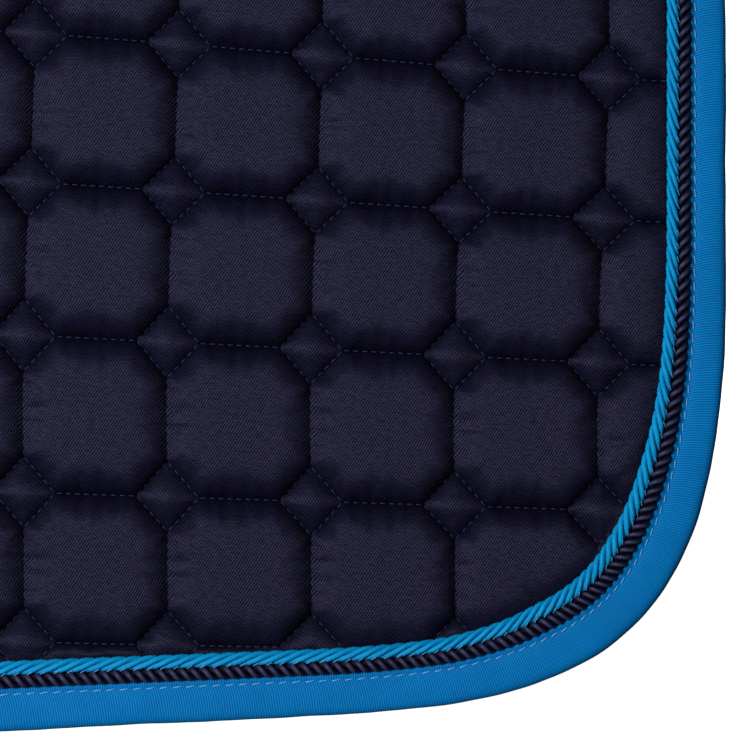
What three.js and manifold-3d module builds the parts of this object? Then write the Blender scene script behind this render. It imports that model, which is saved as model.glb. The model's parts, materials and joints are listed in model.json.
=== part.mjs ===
// Saddle pad: two quilted sides joined along a soft spine seam, standing astride on their hems.
// Millimetres. +X points to the horse's rear, the left side is at -Y, +Z is up.
//
// Each side is laid out flat in its own group and then leaned into place:
//   x runs rearward along the spine, y runs up the side (the spine is y = 0), z points outward.
// The hinge of the spine is that group's x axis, and the horse lies at z < 0.
import {
  Box3, CubicBezierCurve3, CurvePath, ExtrudeGeometry, BufferGeometry, BufferAttribute, Group,
  LineCurve3, MathUtils, Matrix4, Mesh, MeshStandardMaterial, Shape, Vector2, Vector3,
} from 'three';
import { mergeVertices } from 'three/addons/utils/BufferGeometryUtils.js';
import Module from 'manifold-3d';

const wasm = await Module();
wasm.setup();

// Stance
const SPLAY = MathUtils.degToRad(20); // each side leans out from the vertical by this much
const FALL = MathUtils.degToRad(5); // the spine slopes down to the rear by this much

// Outline of one side
const SPINE_HALF = 322; // half of the spine's length
const SEAM_HALF_GAP = 0.5; // each side stops this far short of the spine's axis
const REAR_FLARE = MathUtils.degToRad(2.6); // the rear edge runs down and slightly backward
const REAR_TIP = new Vector3(338, -478, 0); // where rear edge and hem would meet if not rounded
const REAR_ROUND = 172; // the rear corner's curve starts and ends this far from that tip
const REAR_GRIPS = [0.9, 0.69]; // how strongly the curve holds on to the rear edge and the hem
const REAR_BEND = 170; // depth at which the rear edge has become straight
const FRONT_TIP_X = -331;
const FRONT_ROUND = 92;
const FRONT_LEAN = MathUtils.degToRad(5); // the front edge leaves its corner leaning forward
const ROUND_GRIP = 0.56; // handle length that makes a Bezier corner nearly circular
const EDGE_STEPS = 52;

// Layers of one side, as [inner face, outer face]
const LINING = [0.5, 1.3];
const FOAM = [1.6, 7.6];
const FOAM_TONGUE = [4.2, 7.6]; // the pressed margin that the binding holds
const SPINE_TONGUE = [1.6, 4.0]; // the pressed margin under the spine tape
const WADDING = [7.9, 12.7];
const FACE = [13.0, 14.0];

// Where the layers end, measured inward from the outer edge, or down from the spine
const TONGUE_INSET = 4;
const FOAM_INSET = 16;
const FACE_INSET = 27;
const LINING_TOP = 15.3;
const FOAM_TOP = 12;
const FACE_TOP = 12.3;

// Edge finish
const BINDING_WIDTH = 15.5;
const BINDING = [3, 9];
const BINDING_THICK = 0.9;
const OUTER_PIPING = { radius: 2.75, inset: 18.55, height: 10.65 };
const INNER_PIPING = { radius: 2.5, inset: 24.1, height: 10.4 };
const PIPING_SIDES = 8;

// Spine tapes, folded over the hinge axis: radii of the fold, and length of each leg
const OUTER_TAPE = { inner: 4.3, outer: 5.3, leg: 11.7 };
const INNER_TAPE = { inner: 0.4, outer: 1.2, leg: 15 };

// Girth loop: a band sewn down at both ends and bowed off the face between them
const GIRTH_CENTRE = new Vector2(-64, -400);
const GIRTH_SEWN = 20;
const GIRTH_RAMP = 24;
const GIRTH_TOP = 66;
const GIRTH_BOW = 14.5;
const GIRTH_BAND = [1.7, 22]; // thickness and width

// Billet strap: sewn at the top, hanging free, its tail folded up and held by hook and loop
const WEBBING_WIDTH = 25;
const WEBBING_THICK = 2;
const PATCH_WIDTH = 21;
const PATCH_THICK = 1;
const STRAP_X = -235;
const STRAP_TOP = -62;
const STRAP_SWING = -95; // where the sewn end stops and the free run starts
const STRAP_FOLD = -205; // where the run ends and the tail turns back up
const TAIL_LENGTH = 62;
const PATCH_LENGTH = 44;
const PATCH_SETBACK = 9; // from the fold to the patches
const GAP = 0.3; // clearance between touching pieces

const NAVY = 0x1e1f36;
const COLOURS = {
  face: NAVY,
  filling: 0xe9e6dc,
  foam: 0xd9d4c4,
  lining: 0x262841,
  binding: 0x0c5f9a,
  azure: 0x118fc4,
  satin: 0x14152c,
  webbing: 0x17182b,
  hooks: 0x0f1020,
};

function piece(name, geometry, color, roughness = 0.9) {
  const mesh = new Mesh(geometry, new MeshStandardMaterial({ color, roughness, metalness: 0 }));
  mesh.name = name;
  return mesh;
}

function solidOf(geometry) {
  const plain = geometry.clone();
  plain.deleteAttribute('normal');
  plain.deleteAttribute('uv');
  const merged = mergeVertices(plain);
  return new wasm.Manifold(new wasm.Mesh({
    numProp: 3,
    vertProperties: new Float32Array(merged.attributes.position.array),
    triVerts: new Uint32Array(merged.index.array),
  }));
}

function joined(geometries) {
  const solid = geometries.map(solidOf).reduce((whole, part) => whole.add(part));
  const { vertProperties, triVerts } = solid.getMesh();
  const geometry = new BufferGeometry();
  geometry.setAttribute('position', new BufferAttribute(vertProperties, 3));
  geometry.setIndex(new BufferAttribute(triVerts, 1));
  geometry.computeVertexNormals();
  return geometry;
}

// ---- outline -------------------------------------------------------------------------------

function along(start, direction, distance) {
  return start.clone().addScaledVector(direction, distance);
}

/** The sewn edge, from the spine down the rear edge, forward along the hem and up the front. */
function edgePath() {
  const down = new Vector3(0, -1, 0);
  const rearward = new Vector3(Math.sin(REAR_FLARE), -Math.cos(REAR_FLARE), 0);
  const hemFall = Math.atan(Math.tan(FALL) / Math.cos(SPLAY)); // makes the hem level
  const forward = new Vector3(-Math.cos(hemFall), -Math.sin(hemFall), 0);
  const up = new Vector3(-Math.sin(FRONT_LEAN), Math.cos(FRONT_LEAN), 0);

  const hemRun = (REAR_TIP.x - FRONT_TIP_X) / Math.cos(hemFall);
  const frontTip = along(REAR_TIP, forward, hemRun);
  const spineRear = new Vector3(SPINE_HALF, -SEAM_HALF_GAP, 0);
  const spineFront = new Vector3(-SPINE_HALF, -SEAM_HALF_GAP, 0);
  const bendEnd = along(REAR_TIP, rearward, -(-REAR_TIP.y - REAR_BEND) / Math.cos(REAR_FLARE));
  const roundStart = along(REAR_TIP, rearward, -REAR_ROUND);
  const roundEnd = along(REAR_TIP, forward, REAR_ROUND);
  const frontStart = along(frontTip, forward, -FRONT_ROUND);
  const frontEnd = along(frontTip, up, FRONT_ROUND);

  const path = new CurvePath();
  path.add(new CubicBezierCurve3(
    spineRear, along(spineRear, down, REAR_BEND / 3), along(bendEnd, rearward, -REAR_BEND / 3), bendEnd));
  path.add(new LineCurve3(bendEnd, roundStart));
  path.add(new CubicBezierCurve3(
    roundStart, along(roundStart, rearward, REAR_GRIPS[0] * REAR_ROUND),
    along(roundEnd, forward, -REAR_GRIPS[1] * REAR_ROUND), roundEnd));
  path.add(new LineCurve3(roundEnd, frontStart));
  path.add(new CubicBezierCurve3(
    frontStart, along(frontStart, forward, ROUND_GRIP * FRONT_ROUND),
    along(frontEnd, up, -ROUND_GRIP * FRONT_ROUND), frontEnd));
  path.add(new CubicBezierCurve3(
    frontEnd, along(frontEnd, up, 150), along(spineFront, down, 150), spineFront));
  return path;
}

const EDGE = edgePath();
const EDGE_POINTS = EDGE.getSpacedPoints(EDGE_STEPS);
const OUTWARD = EDGE.computeFrenetFrames(EDGE_STEPS, false).binormals;

/** The side's outline, moved in from the edge by inset and cut off top below the spine. */
function panelShape(inset, top) {
  const points = EDGE_POINTS.map((point, i) => along(point, OUTWARD[i], -inset));
  return new Shape(points.map(({ x, y }) => new Vector2(x, Math.min(y, -top))));
}

function slab(shape, [low, high], curveSegments = 4) {
  const geometry = new ExtrudeGeometry(shape, { depth: high - low, bevelEnabled: false, curveSegments });
  return geometry.translate(0, 0, low);
}

function rectangle(left, bottom, right, top) {
  return new Shape([
    new Vector2(left, bottom), new Vector2(right, bottom), new Vector2(right, top), new Vector2(left, top),
  ]);
}

// ---- edge finish ---------------------------------------------------------------------------

/** Sweeps a section along the edge. Section points are (-height, -inset) from the edge line. */
function edgeSweep(section, curveSegments = 1) {
  return new ExtrudeGeometry(section, { extrudePath: EDGE, steps: EDGE_STEPS, curveSegments });
}

function bindingGeometry() {
  const [low, high] = BINDING;
  const profile = [
    [0, low], [BINDING_WIDTH, low], [BINDING_WIDTH, low + BINDING_THICK],
    [BINDING_THICK, low + BINDING_THICK], [BINDING_THICK, high - BINDING_THICK],
    [BINDING_WIDTH, high - BINDING_THICK], [BINDING_WIDTH, high], [0, high],
  ];
  return edgeSweep(new Shape(profile.map(([inset, height]) => new Vector2(-height, -inset))));
}

function pipingGeometry({ radius, inset, height }) {
  const section = new Shape().absarc(-height, -inset, radius, 0, 2 * Math.PI);
  return edgeSweep(section, PIPING_SIDES / 2);
}

// ---- quilted layers ------------------------------------------------------------------------

function foamGeometry() {
  const spineReach = SPINE_HALF - FOAM_INSET;
  return joined([
    slab(panelShape(FOAM_INSET, FOAM_TOP), FOAM),
    slab(panelShape(TONGUE_INSET, FOAM_TOP), FOAM_TONGUE),
    slab(rectangle(-spineReach, -FOAM_TOP - 1, spineReach, -SEAM_HALF_GAP), SPINE_TONGUE),
  ]);
}

// ---- girth loop and billet strap -----------------------------------------------------------

function girthLoopGeometry() {
  const [thick, width] = GIRTH_BAND;
  const low = FACE[1] + GAP + thick / 2;
  const half = GIRTH_TOP / 2;
  const at = (x, rise) => new Vector3(GIRTH_CENTRE.x + x, GIRTH_CENTRE.y, low + rise);
  const path = new CurvePath();
  path.add(new LineCurve3(at(-half - GIRTH_RAMP - GIRTH_SEWN, 0), at(-half - GIRTH_RAMP, 0)));
  path.add(new CubicBezierCurve3(
    at(-half - GIRTH_RAMP, 0), at(-half - GIRTH_RAMP / 2, 0),
    at(-half - GIRTH_RAMP / 2, GIRTH_BOW), at(-half, GIRTH_BOW)));
  path.add(new LineCurve3(at(-half, GIRTH_BOW), at(half, GIRTH_BOW)));
  path.add(new CubicBezierCurve3(
    at(half, GIRTH_BOW), at(half + GIRTH_RAMP / 2, GIRTH_BOW),
    at(half + GIRTH_RAMP / 2, 0), at(half + GIRTH_RAMP, 0)));
  path.add(new LineCurve3(at(half + GIRTH_RAMP, 0), at(half + GIRTH_RAMP + GIRTH_SEWN, 0)));
  const section = rectangle(-thick / 2, -width / 2, thick / 2, width / 2);
  return new ExtrudeGeometry(section, { extrudePath: path, steps: 36, curveSegments: 1 });
}

/** A band from y = bottom to y = top, centred on the strap, with its far end rounded. */
function roundedBand(width, bottom, top, corner) {
  const half = width / 2;
  const shape = new Shape();
  shape.moveTo(STRAP_X - half, bottom);
  shape.lineTo(STRAP_X + half, bottom);
  shape.lineTo(STRAP_X + half, top - corner);
  shape.absarc(STRAP_X + half - corner, top - corner, corner, 0, Math.PI / 2);
  shape.lineTo(STRAP_X - half + corner, top);
  shape.absarc(STRAP_X - half + corner, top - corner, corner, Math.PI / 2, Math.PI);
  return shape;
}

function strapPieces(side) {
  const half = WEBBING_WIDTH / 2;
  const run = [FACE[1] + GAP, FACE[1] + GAP + WEBBING_THICK];
  const loops = [run[1] + GAP, run[1] + GAP + PATCH_THICK];
  const hooks = [loops[1] + GAP, loops[1] + GAP + PATCH_THICK];
  const tail = [hooks[1] + GAP, hooks[1] + GAP + WEBBING_THICK];
  const left = STRAP_X - half;
  const right = STRAP_X + half;
  const patch = roundedBand(
    PATCH_WIDTH, STRAP_FOLD + PATCH_SETBACK, STRAP_FOLD + PATCH_SETBACK + PATCH_LENGTH, 2);
  const anchor = slab(rectangle(left, STRAP_SWING + GAP, right, STRAP_TOP), run);
  const hanging = slab(rectangle(left, STRAP_FOLD + GAP, right, STRAP_SWING - GAP), run);
  const turned = slab(
    roundedBand(WEBBING_WIDTH, STRAP_FOLD + GAP, STRAP_FOLD + TAIL_LENGTH, 6), tail);
  return [
    piece(`strap_anchor_${side}`, anchor, COLOURS.webbing, 0.8),
    piece(`billet_strap_${side}`, hanging, COLOURS.webbing, 0.8),
    piece(`loop_patch_${side}`, slab(patch, loops), COLOURS.hooks, 1),
    piece(`hook_patch_${side}`, slab(patch, hooks), COLOURS.hooks, 0.7),
    piece(`strap_tail_${side}`, turned, COLOURS.webbing, 0.8),
  ];
}

// ---- spine ---------------------------------------------------------------------------------

/** A tape folded over the hinge axis, drawn across the spine and extruded along it. */
function spineTapeGeometry({ inner, outer, leg }) {
  const reach = SPINE_HALF - TONGUE_INSET;
  const foot = (radius, sign) => new Vector2(
    sign * (radius * Math.cos(SPLAY) + leg * Math.sin(SPLAY)),
    radius * Math.sin(SPLAY) - leg * Math.cos(SPLAY));
  const section = new Shape();
  section.moveTo(foot(outer, 1).x, foot(outer, 1).y);
  section.absarc(0, 0, outer, SPLAY, Math.PI - SPLAY, false);
  section.lineTo(foot(outer, -1).x, foot(outer, -1).y);
  section.lineTo(foot(inner, -1).x, foot(inner, -1).y);
  section.absarc(0, 0, inner, Math.PI - SPLAY, SPLAY, true);
  section.lineTo(foot(inner, 1).x, foot(inner, 1).y);
  const geometry = new ExtrudeGeometry(section, { depth: 2 * reach, bevelEnabled: false, curveSegments: 6 });
  geometry.translate(0, 0, -reach);
  return geometry.applyMatrix4(new Matrix4().makeBasis(
    new Vector3(0, 1, 0), new Vector3(0, 0, 1), new Vector3(1, 0, 0)));
}

// ---- assembly ------------------------------------------------------------------------------

function buildSide(side) {
  const group = new Group();
  group.rotation.x = Math.PI / 2 - SPLAY;
  group.add(
    piece(`lining_${side}`, slab(panelShape(FOAM_INSET, LINING_TOP), LINING), COLOURS.lining),
    piece(`foam_${side}`, foamGeometry(), COLOURS.foam),
    piece(`wadding_${side}`, slab(panelShape(FACE_INSET, FACE_TOP), WADDING), COLOURS.filling),
    piece(`face_fabric_${side}`, slab(panelShape(FACE_INSET, FACE_TOP), FACE), COLOURS.face),
    piece(`edge_binding_${side}`, bindingGeometry(), COLOURS.binding, 0.75),
    piece(`outer_piping_${side}`, pipingGeometry(OUTER_PIPING), COLOURS.satin, 0.45),
    piece(`inner_piping_${side}`, pipingGeometry(INNER_PIPING), COLOURS.azure, 0.6),
    piece(`girth_loop_${side}`, girthLoopGeometry(), COLOURS.webbing, 0.8),
    ...strapPieces(side),
  );
  return group;
}

const rightHalf = new Group();
rightHalf.scale.y = -1;
rightHalf.add(buildSide('right'));

const ridge = new Group();
ridge.rotation.y = FALL;
ridge.add(
  buildSide('left'), rightHalf,
  piece('spine_tape_outer', spineTapeGeometry(OUTER_TAPE), COLOURS.binding, 0.75),
  piece('spine_tape_inner', spineTapeGeometry(INNER_TAPE), COLOURS.lining),
);

const saddlePad = new Group();
saddlePad.name = 'saddle_pad';
saddlePad.add(ridge);
const bounds = new Box3().setFromObject(saddlePad, true);
ridge.position.set(-(bounds.min.x + bounds.max.x) / 2, 0, -bounds.min.z); // origin under the middle

export default saddlePad;
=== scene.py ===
"""Looks of the quilted saddle pad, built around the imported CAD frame.

Soft pieces are laid out unrolled, in millimetres: x runs rearward along the spine, s runs across the
pad from the left hem (negative) over the ridge to the right hem, and n is the height off the horse.
place() folds that sheet over the ridge and gives metres in the row frame.
"""
import json
import math

import bmesh
import bpy
import numpy as np
from mathutils import Matrix
from mathutils.kdtree import KDTree


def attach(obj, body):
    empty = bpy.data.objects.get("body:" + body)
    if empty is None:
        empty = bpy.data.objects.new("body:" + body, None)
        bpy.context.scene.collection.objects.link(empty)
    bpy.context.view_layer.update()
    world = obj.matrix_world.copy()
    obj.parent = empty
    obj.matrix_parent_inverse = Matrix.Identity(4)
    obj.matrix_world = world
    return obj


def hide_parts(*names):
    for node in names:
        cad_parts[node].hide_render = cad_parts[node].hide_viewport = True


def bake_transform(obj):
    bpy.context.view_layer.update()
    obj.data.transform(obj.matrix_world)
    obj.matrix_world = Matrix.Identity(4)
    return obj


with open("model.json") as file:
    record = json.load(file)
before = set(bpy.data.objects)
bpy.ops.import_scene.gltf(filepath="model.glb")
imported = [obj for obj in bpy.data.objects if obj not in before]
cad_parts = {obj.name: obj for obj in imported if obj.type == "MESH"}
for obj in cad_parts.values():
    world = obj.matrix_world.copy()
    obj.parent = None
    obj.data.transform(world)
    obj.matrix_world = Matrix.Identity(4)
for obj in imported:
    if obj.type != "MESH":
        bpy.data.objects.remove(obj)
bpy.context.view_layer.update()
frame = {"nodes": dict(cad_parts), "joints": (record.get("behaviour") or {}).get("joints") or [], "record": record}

SCENE = bpy.context.scene
MM = 0.001

# ---- the frame ----

HINGE = {joint["name"]: joint for joint in frame["joints"]}["spine_fold"]
MOUNT = {mount["name"]: mount for mount in frame["record"]["mounts"]}["back_left"]
SPINE = np.array(HINGE["pos_m"], float)
REARWARD = np.array(HINGE["axis"], float)
REARWARD /= np.linalg.norm(REARWARD)
RIGHT = np.array([0.0, 1.0, 0.0])
UPWARD = np.cross(REARWARD, RIGHT)
LEFT_FACE = -np.array(MOUNT["axis"], float)  # the left side's outward normal
HALF_TURN = math.atan2(-LEFT_FACE @ RIGHT, LEFT_FACE @ UPWARD)  # from the ridge's top to either side
SPLAY = math.pi / 2 - HALF_TURN
FALL = math.asin(-REARWARD[2])
RIDGE_HALF = 6.0 * HALF_TURN  # half of the ridge strip's unrolled width, true at n = 6 mm

# ---- driving sizes, in mm ----

SPINE_HALF = 322
REAR_TIP = np.array([338.0, -478.0])
REAR_FLARE = math.radians(2.6)
REAR_ROUND = 172
REAR_GRIPS = (0.888, 0.68)
REAR_BEND = 170
FRONT_TIP_X = -331
FRONT_ROUND = 92
FRONT_LEAN = math.radians(5)
FRONT_GRIP = 150
ROUND_GRIP = 0.56
EDGE_STEP = 0.5

BINDING_WIDTH = 15.5
OUTER_CORD = {"inset": 18.05, "height": 10.1, "radius": 2.5, "lay": 9.3, "strands": 2}
INNER_CORD = {"inset": 23.1, "height": 10.5, "radius": 2.7, "lay": 26.4, "strands": 4}

CELL = (60.66, 62.74)  # quilting pitch along x and up the side
CELL_ORIGIN = (282.3, -465.7)  # the rearmost, lowest diamond
CELL_LEAN = (-1.65, -0.167)  # lean of a column for each row, and fall of a row for each column
CELL_FAN = -1.155  # rows spread towards the front, in mm per row and column
FAN_REACH = 3.0  # rows or columns over which the fan keeps growing
DRIFT = (-1.2, 4.0, 1.0, 3.2)  # sideways and upward wander of the rows: size and period of each
DIAMOND = 7  # half a diamond's diagonal, in grid steps
STEPS = 32  # grid steps per cell
TALL_DIAMONDS = 0.011  # how much taller than wide the diamonds are, in rows

# how far every trim is spread from the edge: (run from the spine's rear end, share)
TRIM_SPREAD = [(0, 0.98), (290, 0.99), (340, 1.05), (365, 1.1), (390, 1.17), (430, 1.24), (492, 1.24),
               (515, 1.17), (540, 1.115), (590, 1.115), (640, 1.13), (720, 1.16), (1000, 1.12),
               (1200, 1.0), (1620, 0.98)]

SEAM_N = 5.4  # height of the face's stitched lines
PUFF_N = 14.0  # height of its fullest cells
BACK_N = (7.8, 4.9)  # underside of the face quilt: at its rim, and beyond that
TRIM_N = 8.4  # height of its rim, beside the inner cord
TRIM_INSET = 24.4
SPINE_TRIM = 12.5  # both quilts end here, under the spine tapes
SPINE_TRIM_N = 5.8
SPINE_FLAT = 4.0  # and stay pressed this far past the cut
RIM_PINCH = 2.5  # how much lower their backs are at that end
BACK_MARGIN = 6  # width of the sloping rim of a quilt's back
LINING_SEAM_N = 2.3
LINING_PUFF_N = 0.5
LINING_BACK_N = (7.4, 4.5)
LINING_RIM_N = 4.6  # inside the binding's fold
LINING_SPINE_N = 1.9
LINING_TRIM_INSET = 12
LINING_STEPS = 12

WEBBING_WIDTH = 25
WEBBING_THICK = 2
WEBBING_STEP = 2.0
STRAP_X = -235
STRAP_TOP = -62
STRAP_SWING = -95
STRAP_SWING_N = 16.6
STRAP_FOLD = -205
STRAP_N = 15.3  # middle of the hanging run
TAIL_N = 20.2  # middle of the folded tail
TAIL_LENGTH = 62
GIRTH_CENTRE = (-64, -400)
GIRTH_SEWN = 20
GIRTH_RAMP = 24
GIRTH_TOP = 66
GIRTH_BOW = 14.5
GIRTH_N = 15.15
GIRTH_BAND = (22, 1.7)  # width and thickness


def place(x, s, n):
    """Folds unrolled points over the ridge. x, s and n are arrays in mm; the result is in metres."""
    x, s, n = np.broadcast_arrays(np.asarray(x, float), s, n)
    on_ridge = np.clip(s, -RIDGE_HALF, RIDGE_HALF)
    turn = (on_ridge / RIDGE_HALF * HALF_TURN)[..., None]
    outward = np.sin(turn) * RIGHT + np.cos(turn) * UPWARD
    across = np.cos(turn) * RIGHT - np.sin(turn) * UPWARD
    flat = x[..., None] * REARWARD + n[..., None] * outward + (s - on_ridge)[..., None] * across
    return SPINE + MM * flat


def on_side(side, x, up, n):
    """A point of one side: x rearward, up towards the spine (negative below it), n outward."""
    return place(x, side * (RIDGE_HALF - np.asarray(up, float)), n)


SIDES = {"left": -1, "right": 1}

# ---- outline ----


def bezier(a, b, c, d, count=240):
    t = np.linspace(0, 1, count)[:, None]
    return (1 - t) ** 3 * a + 3 * t * (1 - t) ** 2 * b + 3 * t * t * (1 - t) * c + t ** 3 * d


def bend(start, ahead, end, onward):
    """A curve that sets off by ahead and comes in by onward."""
    return bezier(start, start + ahead, end - onward, end)


def side_edge():
    """One side's sewn edge as (x, up): down the rear edge, forward along the hem, up the front."""
    down = np.array([0.0, -1.0])
    rearward = np.array([math.sin(REAR_FLARE), -math.cos(REAR_FLARE)])
    hem_fall = math.atan(math.tan(FALL) / math.cos(SPLAY))
    forward = -np.array([math.cos(hem_fall), math.sin(hem_fall)])
    up = np.array([-math.sin(FRONT_LEAN), math.cos(FRONT_LEAN)])
    front_tip = REAR_TIP + forward * (REAR_TIP[0] - FRONT_TIP_X) / math.cos(hem_fall)
    bend_end = REAR_TIP + rearward * (REAR_TIP[1] + REAR_BEND) / math.cos(REAR_FLARE)
    front_end = front_tip + up * FRONT_ROUND
    return np.concatenate([
        bend(np.array([SPINE_HALF, 0.0]), down * REAR_BEND / 3, bend_end, rearward * REAR_BEND / 3),
        bend(REAR_TIP - rearward * REAR_ROUND, rearward * REAR_GRIPS[0] * REAR_ROUND,
             REAR_TIP + forward * REAR_ROUND, forward * REAR_GRIPS[1] * REAR_ROUND),
        bend(front_tip - forward * FRONT_ROUND, forward * ROUND_GRIP * FRONT_ROUND,
             front_end, up * ROUND_GRIP * FRONT_ROUND),
        bend(front_end, up * FRONT_GRIP, np.array([-SPINE_HALF, 0.0]), -down * FRONT_GRIP)[1:],
    ])


def lengths_along(points):
    steps = np.linalg.norm(np.diff(points, axis=0), axis=1)
    return np.concatenate([[0], np.cumsum(steps)])


def lengths_round(section):
    """Lengths along a closed section, back to its first point."""
    return lengths_along(np.concatenate([section, section[:1]]))


def points_along(line, run):
    along = lengths_along(line)
    return np.column_stack([np.interp(run, along, line[:, k]) for k in (0, 1)])


def normed(vectors):
    return vectors / np.linalg.norm(vectors, axis=-1, keepdims=True)


def turned(directions):
    """The same directions in a plane, a quarter turn to the left."""
    return np.column_stack([-directions[:, 1], directions[:, 0]])


class Loop:
    """The pad's whole edge, once round, as points (x, s) of the unrolled sheet."""

    def __init__(self):
        left = side_edge() - [0, RIDGE_HALF]
        right = (left * [1, -1])[::-1]
        line = np.concatenate([left, right, left[:1]])
        self.length = lengths_along(line)[-1]
        self.run = np.linspace(0, self.length, int(self.length / EDGE_STEP) + 1)
        self.points = points_along(line, self.run)
        ahead = np.roll(self.points[:-1], -4, axis=0) - np.roll(self.points[:-1], 4, axis=0)
        outward = turned(normed(ahead))
        self.outward = np.concatenate([outward, outward[:1]])

    def spread(self, run):
        """How much wider than its nominal size the trim lies here. Both sides are alike."""
        run = np.mod(run, self.length)
        return np.interp(np.minimum(run, self.length - run), *zip(*TRIM_SPREAD))

    def place(self, run, inset, n):
        """Metres, at a distance along the loop, moved inward by inset."""
        run = np.mod(run, self.length)
        inset = inset * self.spread(run)
        x, s, out_x, out_s = (np.interp(run, self.run, values)
                              for values in (*self.points.T, *self.outward.T))
        return place(x - inset * out_x, s - inset * out_s, n)

    def stations(self, count):
        """A column of even distances, from the loop's start round to it again."""
        return np.linspace(0, self.length, count + 1)[:, None]


LOOP = Loop()


def inset_of(spots):
    """How far (x, up) spots of a side lie inside its sewn edge, as the trim counts it, and which way."""
    edge = side_edge()
    run = np.arange(0, lengths_along(edge)[-1], EDGE_STEP)
    line = points_along(edge, run)
    inward = -turned(normed(np.gradient(line, axis=0)))
    tree = KDTree(len(line))
    for index, (x, up) in enumerate(line):
        tree.insert((x, up, 0), index)
    tree.balance()
    nearest = np.array([tree.find((x, up, 0))[1] for x, up in spots])
    inset = ((spots - line[nearest]) * inward[nearest]).sum(1)
    return inset / LOOP.spread(run[nearest]), inward[nearest]


# ---- mesh helpers ----


def corners_of(grid):
    """The four corners of every square of a grid."""
    return np.stack([grid[:-1, :-1], grid[1:, :-1], grid[1:, 1:], grid[:-1, 1:]], axis=2)


def band(points, u, v, ring):
    """A tube over points [rows, columns, 3], which closes on itself if ring and has caps if not.

    u and v are places on the cloth, with one column more, and one row more if ring.
    """
    index = np.arange(points.size // 3).reshape(points.shape[:2])
    uv = np.stack(np.broadcast_arrays(u, v), axis=-1)
    faces = corners_of(np.pad(index, [(0, int(ring)), (0, 1)], mode="wrap")).reshape(-1, 4).tolist()
    corners = corners_of(uv).reshape(-1, 2).tolist()
    if not ring:
        faces += [index[0].tolist(), index[-1, ::-1].tolist()]
        corners += uv[0, :-1].tolist() + uv[-1, -2::-1].tolist()
    return points.reshape(-1, 3), faces, corners


def placed(name, data):
    piece = bpy.data.objects.new(name, data)
    SCENE.collection.objects.link(piece)
    return piece


def finished(name, work, mesh, cloth):
    """The object of a mesh that takes the work done in bmesh."""
    bmesh.ops.recalc_face_normals(work, faces=work.faces)
    work.to_mesh(mesh)
    work.free()
    mesh.polygons.foreach_set("use_smooth", [True] * len(mesh.polygons))
    mesh.materials.append(cloth.material)
    return placed(name, mesh)


def mesh_piece(name, parts, cloth):
    """One object from (points, faces, corner uv) parts; points are in metres."""
    points, faces, corners = [], [], []
    for part_points, part_faces, part_corners in parts:
        start = sum(len(done) for done in points)
        points.append(part_points)
        faces += [[v + start for v in face] for face in part_faces]
        corners += part_corners
    mesh = bpy.data.meshes.new(name)
    mesh.from_pydata(np.concatenate(points).tolist(), [], faces)
    mesh.uv_layers.new(name="Cloth").data.foreach_set("uv", np.array(corners, np.float32).ravel())
    work = bmesh.new()
    work.from_mesh(mesh)
    return finished(name, work, mesh, cloth)


# ---- quilting ----


def fanned(steps):
    return FAN_REACH * np.tanh(steps / FAN_REACH)


def quilt(i, j):
    """Where the quilting's column i and row j lie on a side, as (x, up)."""
    sideways, column_period, upward, row_period = DRIFT
    x = CELL_ORIGIN[0] + CELL[0] * i + CELL_LEAN[0] * j
    rise = j + TALL_DIAMONDS * np.sin(2 * np.pi * j)
    up = CELL_ORIGIN[1] + CELL[1] * rise + CELL_LEAN[1] * i + CELL_FAN * fanned(i + 2) * fanned(j - 2)
    x = x + sideways * np.cos(2 * np.pi * (j - 2) / column_period)
    up = up + upward * np.cos(2 * np.pi * (j - 2.5) / row_period)
    return x, up


HALF_DIAMOND = DIAMOND / STEPS
CELL_SIZE = sum(CELL) / 2
DIAMOND_RISE = 0.55  # height of a filled diamond, as a share of a filled octagon's
ROUNDING = 5  # higher makes the cells' corners and ridges sharper
PAINTED_SHADE_WIDTH = 2.6  # mm from a seam over which its painted shade fades
PAINTED_SHADE_STRENGTHS = np.array([1.0, 0.1, 0.9])[:, None]  # strength of the painted shade of rows, columns and slanting seams


def seam_distances(i, j):
    """Distances in mm to the nearest row, column and slanting seam, and whether a diamond holds it."""
    a, b = np.abs(i - np.round(i)), np.abs(j - np.round(j))
    inside = a + b < HALF_DIAMOND - 1e-6
    to_row = np.hypot(np.maximum(HALF_DIAMOND - a, 0), b)
    to_column = np.hypot(a, np.maximum(HALF_DIAMOND - b, 0))
    on_edge = np.clip((b - a) / HALF_DIAMOND, -1, 1) * HALF_DIAMOND
    to_slant = np.hypot(a - (HALF_DIAMOND - on_edge) / 2, b - (HALF_DIAMOND + on_edge) / 2)
    to_row, to_column = np.where(inside, np.inf, to_row), np.where(inside, np.inf, to_column)
    return np.stack([to_row, to_column, to_slant]) * CELL_SIZE, inside


def crown(i, j):
    """Height of a filled cell, 0 at its seams and 1 at its middle: a pillow with rounded corners."""
    a, b = np.abs(i - np.round(i)), np.abs(j - np.round(j))
    slants = [(p + q - HALF_DIAMOND) / math.sqrt(2) for p in (a, 1 - a) for q in (b, 1 - b)]
    octagon = rounded_least([a, 1 - a, b, 1 - b] + slants)
    diamond = rounded_least([HALF_DIAMOND + p * a + q * b for p in (-1, 1) for q in (-1, 1)])
    octagon = octagon / octagon.max()
    pillow = 0.76 * np.sqrt(1 - (1 - octagon) ** 2) + 0.24 * np.tanh(octagon * 6)
    return pillow, DIAMOND_RISE * (diamond / diamond.max()) ** 0.85


def rounded_least(distances):
    """The least of several distances, with the creases between them rounded off."""
    floor = 1e-4
    return sum(np.maximum(distance, floor) ** -ROUNDING for distance in distances) ** (-1 / ROUNDING)


GATHER_REACH = 2.4  # mm from a seam to where its gathers stand highest
GATHER_WAVES = [(7.7, 2.4, 0.59), (5.1, 5.3, 0.41)]  # length in mm, shift between seams, share
SLANT_RUN = 45  # mm along a slanting seam for each row or column


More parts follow.
